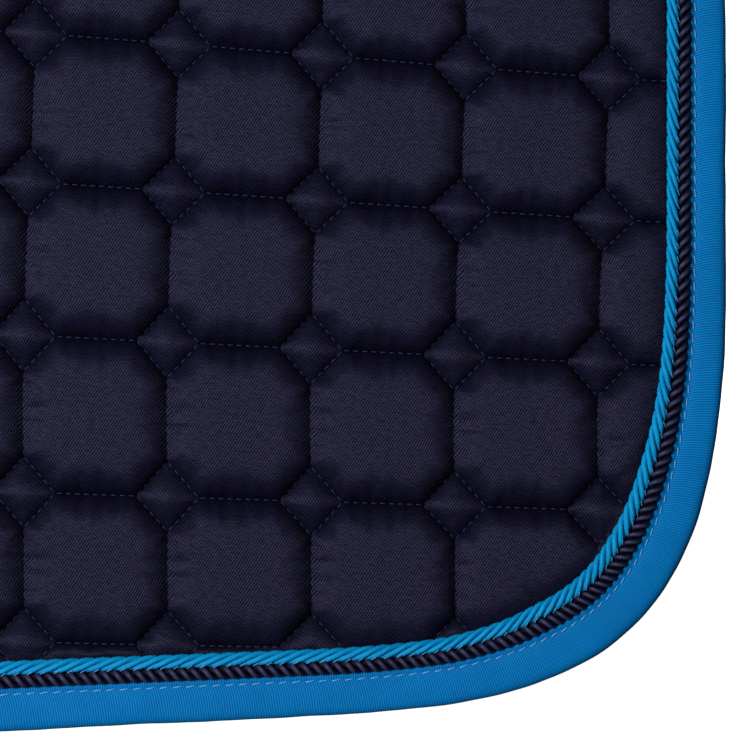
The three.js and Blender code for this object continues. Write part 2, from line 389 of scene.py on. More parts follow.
def puckers(i, j, distances):
    """Small gathers that run away from the stitches, about -1 to 1."""
    rows, columns = np.round(j), np.round(i)
    along = np.stack([i * CELL[0], j * CELL[1], (np.abs(i - columns) - np.abs(j - rows)) * SLANT_RUN])
    seam = np.stack([rows * 7 + 1, columns * 5 + 2, rows * 3 + columns * 11])
    wave = sum(share * np.sin(along * 2 * np.pi / length + seam * shift)
               for length, shift, share in GATHER_WAVES)
    reach = np.minimum(distances, 99) / GATHER_REACH
    gather = wave * reach * np.exp(1 - reach)
    return np.take_along_axis(gather, distances.argmin(0)[None], 0)[0]


def puffed(i, j, low, high, pucker):
    """Height of the quilted cloth, its distance in mm to the nearest seam, and the seam's painted shade, a
    darkening that stands in for shadow in the groove.
    """
    distances, inside = seam_distances(i, j)
    octagon, diamond = crown(i, j)
    n = low + (high - low) * np.where(inside, diamond, octagon)
    # painted shade: a darkening of the cloth's colour that fades out from each seam
    painted_shade = (np.exp(-distances / PAINTED_SHADE_WIDTH) * PAINTED_SHADE_STRENGTHS).max(0)
    return n + pucker * puckers(i, j, distances), distances.min(0), painted_shade


def quilt_grid(steps, trim):
    """The quilting grid of one side cut to its outline: i, j, x, up, inset, border and quads."""
    columns = np.arange(-11 * steps, 2 * steps + 1) / steps
    rows = np.arange(-2 * steps, 8 * steps + 1) / steps
    i, j = (a.ravel() for a in np.meshgrid(columns, rows, indexing="ij"))
    x, up = quilt(i, j)
    inset, inward = inset_of(np.column_stack([x, up]))
    room = np.minimum(inset - trim, -up - SPINE_TRIM)
    keep = (room > -0.5 * CELL[0] / steps).reshape(len(columns), len(rows))
    index = np.arange(keep.size).reshape(keep.shape)
    used, quads = np.unique(corners_of(index)[corners_of(keep).all(axis=2)], return_inverse=True)
    quads = quads.reshape(-1, 4)
    i, j, x, up, room, inset, inward = (v[used] for v in (i, j, x, up, room, inset, inward))
    border = np.bincount(quads.ravel(), minlength=len(used)) < 4
    by_edge = inset - trim < -up - SPINE_TRIM
    shift = np.where(border, -room, 0)[:, None] * np.where(by_edge[:, None], inward, [0, -1])
    inset = np.where(border & by_edge, trim, inset)
    return i, j, x + shift[:, 0], up + shift[:, 1], inset, border, quads


def split_on_seams(quads, on_seam):
    """Quads that a seam crosses corner to corner are cut along it, so that the groove is crisp."""
    hit = on_seam[quads]
    even, odd = (hit == [1, 0, 1, 0]).all(axis=1), (hit == [0, 1, 0, 1]).all(axis=1)
    faces = quads[~(even | odd)].tolist()
    for crossed, halves in ((even, ((0, 1, 2), (0, 2, 3))), (odd, ((0, 1, 3), (1, 2, 3)))):
        for half in halves:
            faces += quads[crossed][:, half].tolist()
    return faces


SIM_FRAMES = 14
SIM_UNIT = 10.0  # the solver works in units of this many mm
SIM_SETTINGS = {"quality": 4, "mass": 0.3, "tension_stiffness": 15, "compression_stiffness": 15,
                "shear_stiffness": 5, "bending_stiffness": 0.4, "air_damping": 3,
                "use_pressure": True, "uniform_pressure_force": 0.3, "shrink_min": -0.03,
                "vertex_group_mass": "pinned"}


def inflated(points, faces, pinned):
    """Cloth pinned at some points and blown up a little, with spare cloth to pucker there."""
    mesh = bpy.data.meshes.new("inflating")
    mesh.from_pydata((points / SIM_UNIT).tolist(), [], faces)
    sheet = placed("inflating", mesh)
    sheet.vertex_groups.new(name="pinned").add(np.nonzero(pinned)[0].tolist(), 1.0, "REPLACE")
    cloth = sheet.modifiers.new("Cloth", "CLOTH")
    for setting, value in SIM_SETTINGS.items():
        setattr(cloth.settings, setting, value)
    cloth.settings.effector_weights.gravity = 0
    cloth.collision_settings.use_collision = False
    for step in range(1, SIM_FRAMES + 1):
        SCENE.frame_set(step)
    shown = sheet.evaluated_get(bpy.context.evaluated_depsgraph_get())
    result = np.empty(len(points) * 3)
    shown.data.vertices.foreach_get("co", result)
    bpy.data.objects.remove(sheet)
    bpy.data.meshes.remove(mesh)
    return result.reshape(-1, 3) * SIM_UNIT


def soft_cap(n, start, top):
    """Heights above start are pressed together so that none passes top."""
    room = top - start
    return np.where(n > start, start + room * np.tanh((n - start) / room), n)


def past_tape(up):
    """Distance below the part that the spine tape presses flat."""
    return np.maximum(-up - SPINE_TRIM - SPINE_FLAT, 0)


def eased(n, held, distance, reach):
    """Heights n, drawn to the held height where distance is 0 or less."""
    return held + (n - held) * np.tanh(np.maximum(distance, 0) / reach)


def settled_face(n, inset, up):
    """Heights n of the face quilting, held down by the trim and the tape."""
    return eased(eased(n, TRIM_N, inset - TRIM_INSET, 5), SPINE_TRIM_N, past_tape(up), 7)


def settled_lining(n, inset, up):
    return eased(eased(n, LINING_RIM_N, inset - BINDING_WIDTH, 5), LINING_SPINE_N, past_tape(up), 5)


def quilt_sheet(steps, trim, seam_n, puff_n, pucker, settled, blown):
    """The quilted cloth of one side in flat coordinates.

    It gives points, faces, resting (x, up), which points are on a seam, and the seams' painted shade.
    """
    i, j, x, up, inset, border, quads = quilt_grid(steps, trim)
    n, to_seam, painted_shade = puffed(i, j, seam_n, puff_n, pucker)
    on_seam = to_seam < 1e-6
    points = np.column_stack([x, up, settled(n, inset, up)])
    faces = split_on_seams(quads, on_seam) if blown else quads.tolist()
    if blown:
        points = inflated(points, faces, on_seam | border | (past_tape(up) < 0.1))
        points[:, 2] = soft_cap(points[:, 2], puff_n - 3, puff_n)
    return points, faces, np.column_stack([x, up]), on_seam, painted_shade


def close_behind(work, trim, back_n):
    """Turns the rim of a sheet down, draws it inward and fills its back."""
    verts, rim = extruded_rim(work, [edge for edge in work.edges if edge.is_boundary])
    for vert in verts:
        vert.co.z = back_n[0] - RIM_PINCH * math.exp(-max(-vert.co.y - SPINE_TRIM, 0) / 3)
    verts, rim = extruded_rim(work, rim)
    outline = np.array([vert.co for vert in verts])
    inset, inward = inset_of(outline[:, :2])
    outline[:, :2] += inward * np.maximum(trim + BACK_MARGIN - inset, 0)[:, None]
    outline[:, 1] = np.minimum(outline[:, 1], -SPINE_TRIM - BACK_MARGIN)
    outline[:, 2] = back_n[1]
    for vert, spot in zip(verts, outline):
        vert.co = spot
    bmesh.ops.edgeloop_fill(work, edges=rim)
    bmesh.ops.remove_doubles(work, verts=verts, dist=0.01)


def closed_quilt(name, side, sheet, trim, back_n, cloth):
    """A puffed sheet of one side, closed behind. back_n is the back's height at its rim and inside."""
    points, faces, rest, on_seam, painted_shade = sheet
    mesh = bpy.data.meshes.new(name)
    mesh.from_pydata(points.tolist(), [], faces)
    # painted shade near the seams, kept on the points for the twill's colour
    mesh.attributes.new("PaintedShade", "FLOAT", "POINT").data.foreach_set("value", painted_shade)
    work = bmesh.new()
    work.from_mesh(mesh)
    for edge in work.edges:
        edge.smooth = not all(on_seam[vert.index] for vert in edge.verts)
    weave = (rest * [-SIDES[side], 1]).tolist()
    layer = work.loops.layers.uv.new("Cloth")
    for face in work.faces:
        for loop in face.loops:
            loop[layer].uv = weave[loop.vert.index]
    close_behind(work, trim, back_n)
    flat = np.array([vert.co for vert in work.verts])
    for vert, spot in zip(work.verts, on_side(SIDES[side], *flat.T)):
        vert.co = spot
    return finished(name, work, mesh, cloth)


def extruded_rim(work, edges):
    """Extrudes a closed line of edges and gives the new verts and edges."""
    made = bmesh.ops.extrude_edge_only(work, edges=edges)["geom"]
    verts = [part for part in made if isinstance(part, bmesh.types.BMVert)]
    return verts, [part for part in made if isinstance(part, bmesh.types.BMEdge)]


# ---- thread ----

THREAD_SIDES = 5
# rings of a bar of thread: reach in half lengths, width and rise in radii
THREAD_RINGS = [(-1, 0.4, -0.8), (-0.8, 1, 0), (0.8, 1, 0), (1, 0.4, -0.8)]


def thread_part(middles, tips, ups, radius):
    """Short bars of thread with these middles and tips, in metres. ups are points over the middles."""
    ends = tips - middles
    ahead = normed(ends)
    beside = normed(np.cross(ahead, ups - middles))
    above = np.cross(beside, ahead)
    turn = np.arange(THREAD_SIDES)[:, None] * 2 * np.pi / THREAD_SIDES
    spokes = (np.cos(turn) * beside[:, None] + np.sin(turn) * above[:, None]) * radius * MM
    rings = [(middles + ends * reach + above * rise * radius * MM)[:, None] + width * spokes
             for reach, width, rise in THREAD_RINGS]
    points = np.stack(rings, axis=1)
    index = np.arange(points.size // 3).reshape(points.shape[:3])
    after = np.roll(index, -1, axis=2)
    quads = np.stack([index[:, :-1], after[:, :-1], after[:, 1:], index[:, 1:]], axis=-1).reshape(-1, 4)
    faces = quads.tolist() + index[:, 0].tolist() + index[:, -1, ::-1].tolist()
    corners = [[0.0, 0.0]] * (4 * len(quads) + 2 * THREAD_SIDES * len(middles))
    return points.reshape(-1, 3), faces, corners


def stitch_shares(length, pitch):
    """Where the middles of stitches lie along a line, as shares of its length."""
    count = max(1, round(length / pitch))
    return ((np.arange(count) + 0.5) / count)[:, None]


def seam_lines():
    """Every straight run of quilting stitches as start and end in columns and rows."""
    half = HALF_DIAMOND
    tips = [(half, 0), (0, half), (-half, 0), (0, -half), (half, 0)]
    for i in range(-11, 3):
        for j in range(-2, 9):
            yield (i + half, j), (i + 1 - half, j)
            yield (i, j + half), (i, j + 1 - half)
            for a, b in zip(tips, tips[1:]):
                yield (i + a[0], j + a[1]), (i + b[0], j + b[1])


QUILTING_STITCH = 3.83


def quilting_stitches(name, side, settled, seam_n, lift, radius, trim):
    """The quilting thread in one side's grooves, lift above them. settled gives the cloth's height."""
    middles, tips = [], []
    for start, end in seam_lines():
        start, end = np.array(start, float), np.array(end, float)
        whole = np.array(quilt(*end)) - quilt(*start)
        share = stitch_shares(np.linalg.norm(whole), QUILTING_STITCH)
        middles.append(np.column_stack(quilt(*(start + (end - start) * share).T)))
        tips.append(middles[-1] + whole / len(share) * 0.32)
    middles, tips = np.concatenate(middles), np.concatenate(tips)
    keep = (inset_of(middles)[0] > trim + 1.5) & (-middles[:, 1] > SPINE_TRIM + 5)

    def over_seam(spots, rise):
        n = settled(seam_n, inset_of(spots)[0], spots[:, 1]) + rise
        return on_side(SIDES[side], *spots.T, n)

    middles, tips = middles[keep], tips[keep]
    part = thread_part(over_seam(middles, lift), over_seam(tips, lift), over_seam(middles, 2 * lift),
                       radius)
    return mesh_piece(name, [part], QUILTING_THREAD)


# ---- edge finish ----


def strand_radius(cord):
    return cord["radius"] / (1 + 1 / math.sin(math.pi / cord["strands"]))


CORD_SIDES = 10


def twisted_cord(name, cord, hand, cloth):
    """Strands laid round each other, once round the pad's edge. hand is +1 or -1."""
    strand = strand_radius(cord)
    orbit = cord["radius"] - strand
    turns = round(LOOP.length / cord["lay"])
    stations = LOOP.stations(turns * 12)
    run = stations[:-1]
    around = np.arange(CORD_SIDES) * 2 * np.pi / CORD_SIDES
    wide = 0.98 * math.hypot(1, 2 * math.pi * orbit / cord["lay"])
    out, along = orbit + strand * np.cos(around), strand * wide * np.sin(around)
    girth = np.linspace(0, 2 * np.pi * strand, CORD_SIDES + 1)
    parts = []
    for k in range(cord["strands"]):
        angle = 2 * np.pi * (hand * turns * run / LOOP.length + k / cord["strands"])
        inset = cord["inset"] + out * np.cos(angle) - along * np.sin(angle)
        height = cord["height"] + out * np.sin(angle) + along * np.cos(angle)
        parts.append(band(LOOP.place(run, inset, height), stations, girth, ring=True))
    return mesh_piece(name, parts, cloth)


STITCH_INSET = 13.4  # the binding's stitch line
STITCH_POINT = 5  # the point of BINDING_TOP that lies there
BINDING_THREAD_N = 8.95
BINDING_STITCH = 5.6
BINDING_MIDDLE = 6.0
# the binding's outer skin from its inner edge on the face to its nose, as (inset, n)
BINDING_TOP = [(15.6, 8.0), (15.6, 8.7), (15.2, 9.1), (14.6, 9.2), (14.0, 9.0), (13.4, 8.75),
               (12.8, 8.95), (11.6, 9.15), (9.6, 9.3), (7.4, 9.35), (5.2, 9.3), (3.2, 9.15),
               (1.7, 8.75), (0.5, 7.8), (0.0, 6.0)]
BINDING_INSIDE = [(15.5, 7.5), (12.0, 7.9), (6.0, 8.3), (2.1, 7.9), (1.0, 6.0)]


def waver(run, scale, seed):
    """Slow unevenness along the loop, about -1 to 1, which closes on itself."""
    random = np.random.default_rng(seed)
    total = 0
    for k in range(1, 7):
        turns = round(LOOP.length / scale * k / 3.5) * run / LOOP.length
        total = total + random.normal() * np.cos(2 * np.pi * turns + random.random() * 7)
    return total / 2.5


def binding_profile():
    """The folded tape's closed section as (inset, n): its outer skin, then back along its inside."""
    def flipped(points):
        return points * [1, -1] + [0, 2 * BINDING_MIDDLE]
    top, lining = np.array(BINDING_TOP), np.array(BINDING_INSIDE)
    return (np.concatenate([top, flipped(top[-2::-1])]),
            np.concatenate([flipped(lining), lining[-2::-1]]))


def rib_lean(outward):
    """How far the tape's ribs are dragged along the seam, by distance outward from the stitches."""
    outward = np.maximum(outward, 0)
    return 0.09 * outward + 1.2 * (1 - np.exp(-outward / 2.5))


def edge_binding():
    skin, inner = binding_profile()
    profile = np.concatenate([skin, inner])
    inset, height = profile.T
    stitches = round(LOOP.length / BINDING_STITCH)
    stations = LOOP.stations(stitches * 4)
    run = stations[:-1]
    near_stitch = np.exp(-((inset - STITCH_INSET) / 1.3) ** 2)
    beat = np.cos(2 * np.pi * run * stitches / LOOP.length)
    outer = np.arange(len(profile)) < len(skin)
    side = np.where(height > BINDING_MIDDLE, 1, -1)
    lift = outer * side * (0.16 * near_stitch * (beat - 1) + 0.12 * waver(run, 60, 3) * (inset < 12))
    edge = outer * (1 - inset / 16) * (0.2 * waver(run, 90, 5) + 0.06 * waver(run, 20, 6))
    path = lengths_round(profile)
    part = band(LOOP.place(run, inset + edge, height + lift),
                stations + rib_lean(path - path[STITCH_POINT]), path, ring=True)
    return mesh_piece("edge_binding", [part], BINDING_TAPE)


def loop_threads(name, middle, tip, above, radius):
    """Stitches along the edge with this middle (inset, n). tip and above go on by (run, inset, n)."""
    count = round(LOOP.length / BINDING_STITCH)
    run = (np.arange(count) + 0.5) * LOOP.length / count
    spots = [LOOP.place(run + along, middle[0] + inset, middle[1] + n)
             for along, inset, n in ((0, 0, 0), tip, above)]
    return mesh_piece(name, [thread_part(*spots, radius)], BINDING_THREAD)


COUCHING_ANGLES = (math.radians(30), math.radians(48))  # round the cord, of a stitch's foot and tip


def cord_stitches(cord):
    """The stitches that hold a cord down, lying along its outer foot."""
    foot, tip = (cord["radius"] * np.array([-math.cos(angle), math.sin(angle)])
                 for angle in COUCHING_ANGLES)
    middle = foot + (cord["inset"], cord["height"])
    return loop_threads("cord_stitches", middle, (-1.2, *(tip - foot)), (0, -0.7, 0.7), 0.15)


# ---- webbing ----


def webbing_part(at, path, width, thick, round_end=0):
    """A band whose middle line is path, (distance, n) pairs. at(across, distance, n) gives metres."""
    normal = turned(normed(np.gradient(path, axis=0)))
    run = lengths_along(path)
    left = np.clip(1 - (run[-1] - run) / max(round_end, 1e-6), 0, 0.97)
    narrow = 1 - round_end / width * 2 * (1 - np.sqrt(1 - left ** 2))
    across = np.linspace(-0.5, 0.5, 13) * (width - thick)
    bead = thick / 2 * (1 + 0.12 * np.cos(np.linspace(0, 6 * np.pi, 13)))
    turn = np.linspace(np.pi / 2, -np.pi / 2, 7)[1:-1]
    end = np.column_stack([(width - thick) / 2 + thick / 2 * np.cos(turn), thick / 2 * np.sin(turn)])
    top = np.column_stack([across, bead])
    section = np.concatenate([top, end, top[::-1] * [1, -1], end[::-1] * [-1, 1]])
    spots = path[:, None] + section[:, 1, None] * normal[:, None]
    points = at(section[:, 0] * narrow[:, None], spots[..., 0], spots[..., 1])
    return band(points, run[:, None], lengths_round(section), ring=False)


def strap_frame(side):
    return lambda across, up, n: on_side(SIDES[side], STRAP_X + across, up, n)


def girth_frame(side):
    return lambda across, x, n: on_side(SIDES[side], GIRTH_CENTRE[0] + x, GIRTH_CENTRE[1] + across, n)


def sampled(*stretches):
    """Joins stretches of (distance, n) points, leaving out repeated ends."""
    return np.concatenate([stretches[0]] + [stretch[1:] for stretch in stretches[1:]])


def line(a, b):
    a, b = np.array(a, float), np.array(b, float)
    count = max(2, round(np.linalg.norm(b - a) / WEBBING_STEP) + 1)
    return a + (b - a) * np.linspace(0, 1, count)[:, None]


def girth_path():
    """From one sewn end, up off the face, along the loop and down to the other sewn end."""
    half, foot, high = GIRTH_TOP / 2, GIRTH_TOP / 2 + GIRTH_RAMP, GIRTH_N + GIRTH_BOW
    ramp = bezier(*np.array([(-foot, GIRTH_N), (-foot + GIRTH_RAMP / 2, GIRTH_N),
                             (-half - GIRTH_RAMP / 2, high), (-half, high)]), count=18)
    first = sampled(line((-foot - GIRTH_SEWN, GIRTH_N), (-foot, GIRTH_N)), ramp,
                    line((-half, high), (0, high)))
    return sampled(first, first[::-1] * [-1, 1])


def strap_piece(name, side, path, round_end=0):
    part = webbing_part(strap_frame(side), path, WEBBING_WIDTH, WEBBING_THICK, round_end)
    return mesh_piece(name + side, [part], WEBBING)


def strap_run(side):
    """The strap from its sewn top end to its lower fold."""
    return strap_piece("strap_webbing_", side, sampled(
        line((STRAP_TOP, STRAP_N), (STRAP_SWING, STRAP_N)),
        line((STRAP_SWING, STRAP_N), (STRAP_FOLD, STRAP_N))))


def strap_tail(side):
    """The strap's lower fold and the tail that turns back up over it."""
    radius = (TAIL_N - STRAP_N) / 2
    turn = np.linspace(0, np.pi, 15)
    fold = np.column_stack([STRAP_FOLD - radius * np.sin(turn), STRAP_N + radius * (1 - np.cos(turn))])
    path = sampled(fold, line((STRAP_FOLD, TAIL_N), (STRAP_FOLD + TAIL_LENGTH, TAIL_N)))
    return strap_piece("strap_tail_webbing_", side, path, round_end=6)


WEBBING_STITCH = 2.4


def stitched_lines(name, at, lines, n, radius=0.25):
    """Rows of stitches along lines of (across, distance) corners, on a band's top at height n."""
    middles, tips = [], []
    for a, b in np.array(lines, float):
        share = stitch_shares(np.linalg.norm(b - a), WEBBING_STITCH)
        middles.append(a + (b - a) * share)
        tips.append(middles[-1] + (b - a) / len(share) * 0.38)
    middles, tips = np.concatenate(middles).T, np.concatenate(tips).T
    part = thread_part(at(*middles, n), at(*tips, n), at(*middles, n + 1), radius)
    return mesh_piece(name, [part], NAVY_THREAD)


def box_and_cross(half_width, low, high):
    """The lines of a sewn box with a cross in it."""
    a, b, c, d = (-half_width, low), (half_width, low), (half_width, high), (-half_width, high)
    return [(a, b), (b, c), (c, d), (d, a), (a, c), (b, d)]


# ---- spine tapes ----


def ridge_tape(name, heights, leg, thick, waves):
    """A tape folded over the ridge. heights are (distance from the ridge line, n) of its outer skin."""
    across = np.linspace(-leg, leg, 61)
    outer = np.interp(np.abs(across), *np.array(heights).T)
    section = np.concatenate([np.column_stack([across, outer]),
                              np.column_stack([across, outer - thick])[::-1]])
    stations = np.linspace(-SPINE_HALF + 2.5, SPINE_HALF - 2.5, 360)[:, None]
    wave = waves * np.cos(stations / 9.7) * np.cos(stations / 23 + 1)
    points = place(stations, section[:, 0], section[:, 1] + wave)
    part = band(points, stations, lengths_round(section), ring=False)
    return mesh_piece(name, [part], SPINE_TAPE_CLOTH)


def ridge_threads(name, reach, n, pitch):
    x = np.arange(-SPINE_HALF + 6, SPINE_HALF - 6, pitch)
    parts = [thread_part(place(x, s, n), place(x + pitch * 0.32, s, n), place(x, s, n + 1), 0.3)
             for s in (-reach, reach)]
    return mesh_piece(name, parts, BINDING_THREAD)


# ---- materials ----


def srgb(colour):
    """A shader colour from 0-255 values."""
    channels = [v / 255 for v in colour]
    return tuple(c / 12.92 if c <= 0.04045 else ((c + 0.055) / 1.055) ** 2.4 for c in channels) + (1,)


class Value:
    """The output of a shader node. Arithmetic on it adds Math nodes."""

    def __init__(self, cloth, socket):
        self.cloth, self.socket = cloth, socket

    def math(self, operation, *others):
        return self.cloth.node("Math", dict(enumerate((self, *others))), operation=operation)

    def __add__(self, other):
        return self.math("ADD", other)

    def __sub__(self, other):
        return self.math("SUBTRACT", other)

    def __mul__(self, other):
        return self.math("MULTIPLY", other)

    def __pow__(self, other):
        return self.math("POWER", other)

    def stripes(self, pitch):
        """0 to 1 and back once in every pitch."""
        return (self * (2 * math.pi / pitch)).math("SINE") * 0.5 + 0.5


class Cloth:
    """A fabric being built. u and v are mm on the cloth, or by_place uses the place in space."""

    def __init__(self, name, roughness, sheen=0.0, specular=0.3, by_place=False):
        self.material = bpy.data.materials.new(name)
        self.material.use_nodes = True
        self.tree = self.material.node_tree
        self.shader = self.tree.nodes["Principled BSDF"]
        self.set("Roughness", roughness)
        self.set("Specular IOR Level", specular)
        self.set("Sheen Weight", sheen)
        self.set("Sheen Roughness", 0.45)
        if by_place:
            self.where, self.scale = self.node("TexCoord", {}, "Object"), 1 / MM
        else:
            self.where, self.scale = self.node("UVMap", {}, uv_map="Cloth"), 1.0
        self.u, self.v = (self.node("SeparateXYZ", {0: self.where}, k) * self.scale for k in (0, 1))

    def node(self, kind, inputs, output=0, **settings):
        """Adds a shader node and gives one of its outputs."""
        node = self.tree.nodes.new("ShaderNode" + kind)
        for setting, value in settings.items():
            setattr(node, setting, value)
        for key, value in inputs.items():
            self.feed(node.inputs[key], value)
        return Value(self, node.outputs[output])

    def feed(self, socket, value):
        if isinstance(value, Value):
            self.tree.links.new(value.socket, socket)
        else:
            socket.default_value = value

    def set(self, key, value):
        self.feed(self.shader.inputs[key], value)

    def noise(self, size, detail=2.0, stretch=(1, 1, 1)):
        """Soft random spots of this size in mm, about 0.5 on average. stretch above 1 narrows them."""
        scale = [self.scale * s / size for s in stretch]
        spot = self.node("Mapping", {"Vector": self.where, "Scale": scale})
        return self.node("TexNoise", {"Vector": spot, "Scale": 1.0, "Detail": detail})

    def paint(self, tone, dark, light, brightness=1.0):
        """Colours it from dark where tone is 0 to light where it is 1, both as 0-255 values."""
        colour = self.node("Mix", {0: tone, 6: srgb(dark), 7: srgb(light)}, 2, data_type="RGBA")
        self.set("Base Color", self.node("HueSaturation", {"Value": brightness, "Color": colour}))

    def bump(self, height, depth):
        """height runs 0 to 1 over depth mm."""
        self.set("Normal", self.node("Bump", {"Height": height, "Distance": depth * MM}))


TWILL_ANGLE = math.radians(59.6)
TWILL_PITCH = 1.04


def navy_twill():
    """Cotton twill: steep fine lines broken by their yarns, with slubs, a bloom, a drawn-out gloss, and painted
    shade that darkens it and dulls its gloss near the seams.
    """
    cloth = Cloth("navy_twill", roughness=0.62)
    cloth.set("Tangent", cloth.node("Tangent", {}, direction_type="UV_MAP", uv_map="Cloth"))
    cloth.set("Anisotropic", 0.8)
    cloth.set("Specular Tint", (0.48, 0.46, 0.85, 1))
    # painted shade: colour and gloss are dimmed by up to 0.6 towards the seams, standing in for the grooves'
    # shadow
    painted_shade_dimming = cloth.node("Attribute", {}, "Fac", attribute_name="PaintedShade") * -0.6 + 1.0
    drift, fuzz = cloth.noise(22), cloth.noise(0.55, detail=3)
    across = cloth.v * math.cos(TWILL_ANGLE) - cloth.u * math.sin(TWILL_ANGLE)
    along = cloth.u * math.cos(TWILL_ANGLE) + cloth.v * math.sin(TWILL_ANGLE)
    wale = (across + drift * 0.9 + fuzz * 0.22).stripes(TWILL_PITCH)
    yarn = (along * 0.9 + across * 0.55 + drift).stripes(0.71)
    slub = cloth.noise(1.6, detail=2, stretch=(0.5, 1.3, 1))
    tone = wale * 0.36 + yarn * wale * 0.22 + (fuzz - 0.5) * 0.95 + (slub - 0.5) * 0.4 + 0.13
    bloom = cloth.noise(14, detail=3) * 0.35 + 0.82
    cloth.paint(tone, (2, 2, 10), (41, 39, 67), bloom * painted_shade_dimming)
    cloth.set("Specular IOR Level", (tone * 1.2 - 0.1).math("MAXIMUM", 0.02) * painted_shade_dimming)
    cloth.bump(wale * 0.6 + yarn * 0.15 + fuzz * 0.5, 0.13)
    return cloth


def brushed_lining():
    """Cotton brushed to a nap on the horse's side."""
    cloth = Cloth("brushed_lining", roughness=0.95, sheen=0.3, specular=0.12)
    nap, fibres = cloth.noise(5, detail=4, stretch=(1, 0.4, 1)), cloth.noise(0.5, detail=3)
    weave = (cloth.u + nap * 0.3).stripes(1.1) * 0.25 + (cloth.v + nap * 0.3).stripes(1.1) * 0.25
    cloth.paint(nap * 0.7 + fibres * 0.5 + weave - 0.35, (20, 22, 40), (52, 55, 84))
    cloth.bump(fibres * 0.6 + weave * 0.5 + nap * 0.4, 0.25)
    return cloth


RIB_PITCH = 1.05


def ribbed_tape(name, painted_shade_span=None):
    """Blue grosgrain: ribs across the tape. Painted shade darkens it by a tenth from the first to the second of
    two distances round its section, over the rounded nose and on round its underside.
    """
    cloth = Cloth(name, roughness=0.7, specular=0.08)
    drift, fuzz = cloth.noise(9), cloth.noise(0.4, detail=3)
    rib = (cloth.u + drift * 0.5 + fuzz * 0.12).stripes(RIB_PITCH)
    thread = (cloth.v + (fuzz - 0.5) * 0.2).stripes(0.42)
    tone = rib * 0.7 + thread * rib * 0.14 + (fuzz - 0.5) * 0.8 + (drift - 0.5) * 0.25
    brightness = cloth.noise(30) * 0.22 + 1.04
    if painted_shade_span:
        # painted shade over the binding's rounded nose and underside
        rim = cloth.node("MapRange", {0: cloth.v, 1: painted_shade_span[0], 2: painted_shade_span[1], 3: 0, 4: 1},
                         interpolation_type="SMOOTHSTEP")
        brightness = brightness * (rim * -0.1 + 1.0)
    cloth.paint(tone, (0, 88, 154), (6, 140, 214), brightness)
    cloth.set("Roughness", rib * -0.15 + 0.75)
    cloth.bump(rib * 0.8 + thread * 0.12 + fuzz * 0.3, 0.13)
    return cloth


def twisted_satin(name, cord, highlight_power, colours, roughness, specular):
    """Filament yarn: fine bright streaks along each strand, gathered into a painted highlight on its outer crest,
    with painted shade where the strands meet; the power narrows the highlight.
    """
    cloth = Cloth(name, roughness=roughness, specular=specular)
    girth = 2 * math.pi * strand_radius(cord)
    # painted highlight and shade: the light colour shows only towards each strand's outer crest
    painted_crest_highlight = (cloth.v + girth / 4).stripes(girth) ** highlight_power
    streak = cloth.noise(0.32, stretch=(0.05, 1, 1))
    broad = cloth.noise(2.6, stretch=(0.25, 1, 1))
    cloth.paint((streak * 1.5 + broad * 0.5 - 0.45) * painted_crest_highlight, *colours)
    cloth.set("Roughness", streak * 0.3 + (roughness - 0.15))
    cloth.bump(streak * 0.8 + broad * 0.3, 0.09)
    return cloth


def sewing_thread(name, dark, light):
    cloth = Cloth(name, roughness=0.6, specular=0.2, by_place=True)
    ply = cloth.noise(0.35, detail=1)
    cloth.paint(ply * 1.6 - 0.3, dark, light)
    cloth.bump(ply, 0.05)
    return cloth


def woven_webbing():
    """Heavy nylon webbing: chevrons of flat yarns between plain selvedges."""
    cloth = Cloth("woven_webbing", roughness=0.6, specular=0.2)
    zigzag = (cloth.v * (2 * math.pi / 8.3)).math("SINE").math("ABSOLUTE") * 2.2
    fuzz = cloth.noise(0.5)
    rib = (cloth.u + zigzag + fuzz * 0.15).stripes(1.5)
    warp = cloth.v.stripes(1.25)
    tone = rib * 0.45 + warp * 0.25 + fuzz * 0.5 - 0.1
    cloth.paint(tone, (8, 8, 20), (40, 41, 68), cloth.noise(25) * 0.3 + 0.85)
    cloth.bump(rib * 0.6 + warp * 0.4, 0.3)
    return cloth


def loop_tape():
    cloth = Cloth("loop_tape", roughness=0.95, sheen=0.5, specular=0.1, by_place=True)
    curls, tufts = cloth.noise(0.5, detail=4), cloth.noise(1.8, detail=3)
    cloth.paint(curls * 0.8 + tufts * 0.5 - 0.2, (8, 8, 18), (46, 46, 66))
    cloth.bump(curls * 0.7 + tufts * 0.5, 0.6)
    return cloth


def hook_tape():
    cloth = Cloth("hook_tape", roughness=0.4, specular=0.5, by_place=True)
    ranks = cloth.u.stripes(1.1) * cloth.v.stripes(1.1)
    grain = cloth.noise(0.8)
    cloth.paint(ranks * 0.9 + grain * 0.3 - 0.1, (6, 6, 12), (40, 40, 54))
    cloth.set("Roughness", grain * 0.3 + 0.3)
    cloth.bump(ranks, 0.5)
    return cloth


def studio_floor():
    cloth = Cloth("studio_floor", roughness=0.9, specular=0.1, by_place=True)
    cloth.paint(cloth.noise(120, detail=3), (238, 238, 238), (246, 246, 246))
    cloth.set("Emission Color", (1, 1, 1, 1))
    cloth.set("Emission Strength", 1.0)
    return cloth


# ---- assembly ----


def riding(piece, body, nodes=()):
    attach(piece, body)
    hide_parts(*nodes)


def bending(piece, start, end, slot, nodes=()):
    """Bakes the piece's place into its mesh and hides the nodes; nothing here bends it. The two points in metres,
    start and end, are not used.
    """
    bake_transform(piece)
    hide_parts(*nodes)


def over_ridge(piece, reach, slot, nodes=()):
    """Hands the piece to bending() with points reach mm to the left and right of the spine fold; nothing here
    bends it.
    """
    aside = reach * MM * RIGHT
    bending(piece, SPINE - aside, SPINE + aside, slot, nodes)


def both(node):
    return [node + "_left", node + "_right"]


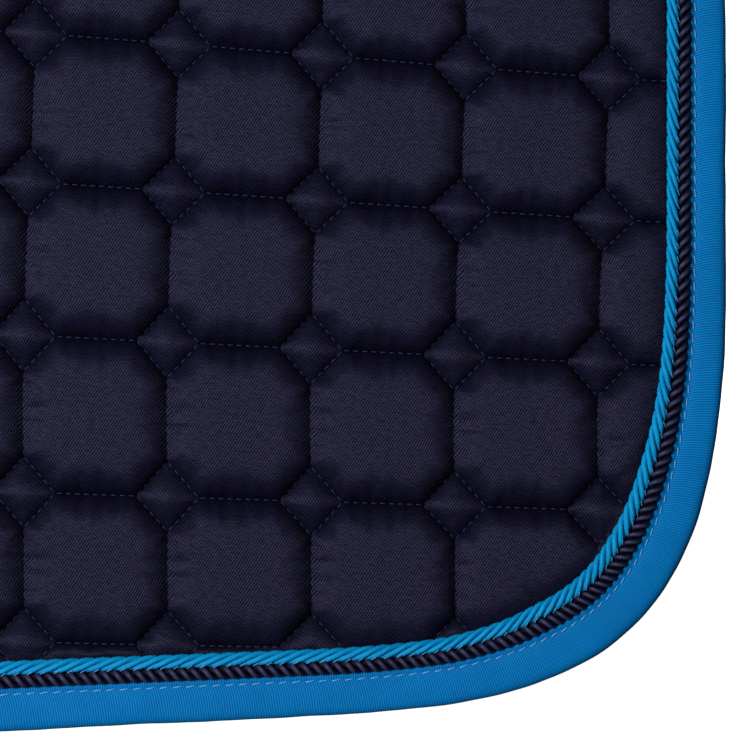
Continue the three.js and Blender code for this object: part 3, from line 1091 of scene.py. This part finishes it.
TWILL = navy_twill()
LINING_CLOTH = brushed_lining()
BINDING_TAPE = ribbed_tape("binding_tape", painted_shade_span=(12.5, 17.5))
SPINE_TAPE_CLOTH = ribbed_tape("spine_tape_cloth")
AZURE_YARN = twisted_satin("azure_yarn", INNER_CORD, 0.4, ((0, 104, 172), (8, 184, 244)), 0.6, 0.12)
NAVY_YARN = twisted_satin("navy_yarn", OUTER_CORD, 3, ((8, 9, 28), (74, 74, 120)), 0.5, 0.2)
QUILTING_THREAD = sewing_thread("quilting_thread", (20, 26, 58), (46, 55, 104))
BINDING_THREAD = sewing_thread("binding_thread", (72, 148, 214), (134, 198, 246))
NAVY_THREAD = sewing_thread("navy_thread", (22, 22, 40), (60, 60, 88))
WEBBING = woven_webbing()


def make_quilts():
    face = quilt_sheet(STEPS, TRIM_INSET, SEAM_N, PUFF_N, 0.2, settled_face, blown=True)
    lining = quilt_sheet(LINING_STEPS, LINING_TRIM_INSET, LINING_SEAM_N, LINING_PUFF_N, 0.08,
                         settled_lining, blown=False)
    for side in SIDES:
        body = side + "_side"
        piece = closed_quilt("face_quilt_" + side, side, face, TRIM_INSET, BACK_N, TWILL)
        riding(piece, body, ["face_fabric_" + side, "wadding_" + side])
        piece = closed_quilt("lining_quilt_" + side, side, lining, LINING_TRIM_INSET, LINING_BACK_N,
                             LINING_CLOTH)
        riding(piece, body, ["lining_" + side, "foam_" + side])
        piece = quilting_stitches("quilting_thread_" + side, side, settled_face, SEAM_N,
                                  lift=0.26, radius=0.3, trim=TRIM_INSET)
        riding(piece, body)
        piece = quilting_stitches("lining_thread_" + side, side, settled_lining, LINING_SEAM_N,
                                  lift=-0.15, radius=0.25, trim=BINDING_WIDTH)
        riding(piece, body)


def make_edge():
    over_ridge(edge_binding(), 5.6, "edge_binding", both("edge_binding"))
    for name, cord, hand, yarn, slot in (("satin_cord", OUTER_CORD, -1, NAVY_YARN, "outer_piping"),
                                         ("azure_cord", INNER_CORD, 1, AZURE_YARN, "inner_piping")):
        over_ridge(twisted_cord(name, cord, hand, yarn), 10, slot, both(slot))
    for name, n in (("binding_thread_face", BINDING_THREAD_N),
                    ("binding_thread_back", 2 * BINDING_MIDDLE - BINDING_THREAD_N)):
        threads = loop_threads(name, (STITCH_INSET, n), (1.85, -0.22, 0), (0, 0, 1), 0.28)
        over_ridge(threads, 5.6, "edge_binding")
    over_ridge(cord_stitches(INNER_CORD), 10, "inner_piping")


OUTER_TAPE_SKIN = [(0, 5.3), (8, 5.5), (14, 6.4), (19.8, 6.95), (23.7, 6.85)]
INNER_TAPE_SKIN = [(0, 1.3), (24, 1.3)]


def make_spine():
    tape = ridge_tape("spine_tape_top", OUTER_TAPE_SKIN, 23.7, 1.0, 0.12)
    over_ridge(tape, 5, "spine_tape", ["spine_tape_outer"])
    tape = ridge_tape("spine_tape_under", INNER_TAPE_SKIN, 23.7, 0.9, 0.0)
    over_ridge(tape, 1.5, "spine_tape", ["spine_tape_inner"])
    over_ridge(ridge_threads("spine_thread", 21.6, 6.98, 3.2), 5, "spine_tape")


def make_girth_loop(side):
    body, at = side + "_side", girth_frame(side)
    loop = mesh_piece("woven_girth_loop_" + side, [webbing_part(at, girth_path(), *GIRTH_BAND)], WEBBING)
    riding(loop, body, ["girth_loop_" + side])
    inner, foot = GIRTH_TOP / 2 + GIRTH_RAMP + 3, GIRTH_TOP / 2 + GIRTH_RAMP + GIRTH_SEWN - 3
    lines = box_and_cross(8, inner, foot) + box_and_cross(8, -foot, -inner)
    riding(stitched_lines("girth_loop_thread_" + side, at, lines, GIRTH_N + 0.98), body)


def make_strap(side):
    body, strap, tail = side + "_side", side + "_strap", side + "_tail"
    at, half_thick = strap_frame(side), WEBBING_THICK / 2
    bending(strap_run(side), at(0, STRAP_SWING + 4, STRAP_SWING_N),
            at(0, STRAP_SWING - 4, STRAP_SWING_N), "webbing",
            ["strap_anchor_" + side, "billet_strap_" + side])
    bending(strap_tail(side), at(0, STRAP_FOLD, STRAP_N + half_thick),
            at(0, STRAP_FOLD, TAIL_N - half_thick), "webbing", ["strap_tail_" + side])
    anchor = box_and_cross(9.5, STRAP_SWING + 8, STRAP_TOP - 3)
    riding(stitched_lines("strap_anchor_thread_" + side, at, anchor, STRAP_N + 1.1), body)
    patch = box_and_cross(9.0, STRAP_FOLD + 11, STRAP_FOLD + 51)[:4]
    riding(stitched_lines("strap_tail_thread_" + side, at, patch, TAIL_N + 0.95, 0.2), tail)


def dress_patches():
    for node, cloth in (("loop_patch_", loop_tape()), ("hook_patch_", hook_tape())):
        for side in SIDES:
            slots = frame["nodes"][node + side].data.materials
            slots.clear()
            slots.append(cloth.material)


# ---- studio ----

LEFT_UP = np.cross(LEFT_FACE, REARWARD)
VIEW_ROLL = math.radians(2.6)
VIEW_WIDTH = 315  # mm across the picture at the pad's face
VIEW_DISTANCE = 1600
VIEW_CENTRE = REAR_TIP + (-154.15, 128.9)
LIT_MIDDLE = VIEW_CENTRE + (-60, 40)
LIGHT_DISTANCE = 2.2
LIGHT_POWER = 46
FLOOR_REACH = 90.0
VIEW_RIGHT = math.cos(VIEW_ROLL) * REARWARD + math.sin(VIEW_ROLL) * LEFT_UP
VIEW_UP = math.cos(VIEW_ROLL) * LEFT_UP - math.sin(VIEW_ROLL) * REARWARD


def look(thing, place_at, right, up):
    """Stands a camera or a light at a place with its picture's right and up."""
    turn = Matrix(np.column_stack([right, up, np.cross(right, up)]).tolist())
    thing.matrix_world = Matrix.Translation(place_at.tolist()) @ turn.to_4x4()


def make_camera():
    lens = bpy.data.cameras.new("camera")
    lens.angle = 2 * math.atan(VIEW_WIDTH / 2 / VIEW_DISTANCE)
    lens.clip_start, lens.clip_end = 0.01, 100
    SCENE.camera = placed("camera", lens)
    look(SCENE.camera, on_side(-1, *VIEW_CENTRE, PUFF_N + VIEW_DISTANCE), VIEW_RIGHT, VIEW_UP)


def make_light(name, side, direction, size):
    """A soft lamp on the middle of one side. direction is (right, up, outward), seen on the left side."""
    lamp = bpy.data.lights.new(name, "AREA")
    lamp.energy, lamp.size = LIGHT_POWER, size
    away = direction[0] * VIEW_RIGHT + direction[1] * VIEW_UP + direction[2] * LEFT_FACE
    away = normed(away) * (1, -side, 1)
    right = normed(np.cross(VIEW_UP, away))
    middle = on_side(side, *LIT_MIDDLE, 0)
    look(placed(name, lamp), middle + LIGHT_DISTANCE * away, right, np.cross(away, right))


def make_floor():
    mesh = bpy.data.meshes.new("floor")
    corners = [(-1, -1), (1, -1), (1, 1), (-1, 1)]
    mesh.from_pydata([(x * FLOOR_REACH, y * FLOOR_REACH, 0) for x, y in corners], [], [(0, 1, 2, 3)])
    mesh.materials.append(studio_floor().material)
    floor = placed("floor", mesh)
    floor.visible_diffuse = floor.visible_glossy = False


def make_world(brightness):
    world = bpy.data.worlds.new("studio")
    world.use_nodes = True
    background = world.node_tree.nodes["Background"]
    background.inputs["Color"].default_value = (1, 1, 1, 1)
    background.inputs["Strength"].default_value = brightness
    SCENE.world = world


make_camera()
make_light("key", -1, (-0.55, 0.08, 0.83), 0.9)
make_light("far_side_key", 1, (-0.45, 0.3, 0.83), 1.1)
make_world(0.08)
make_floor()
SCENE.view_settings.view_transform = "Standard"
make_quilts()
make_edge()
make_spine()
for pad_side in SIDES:
    make_girth_loop(pad_side)
    make_strap(pad_side)
dress_patches()
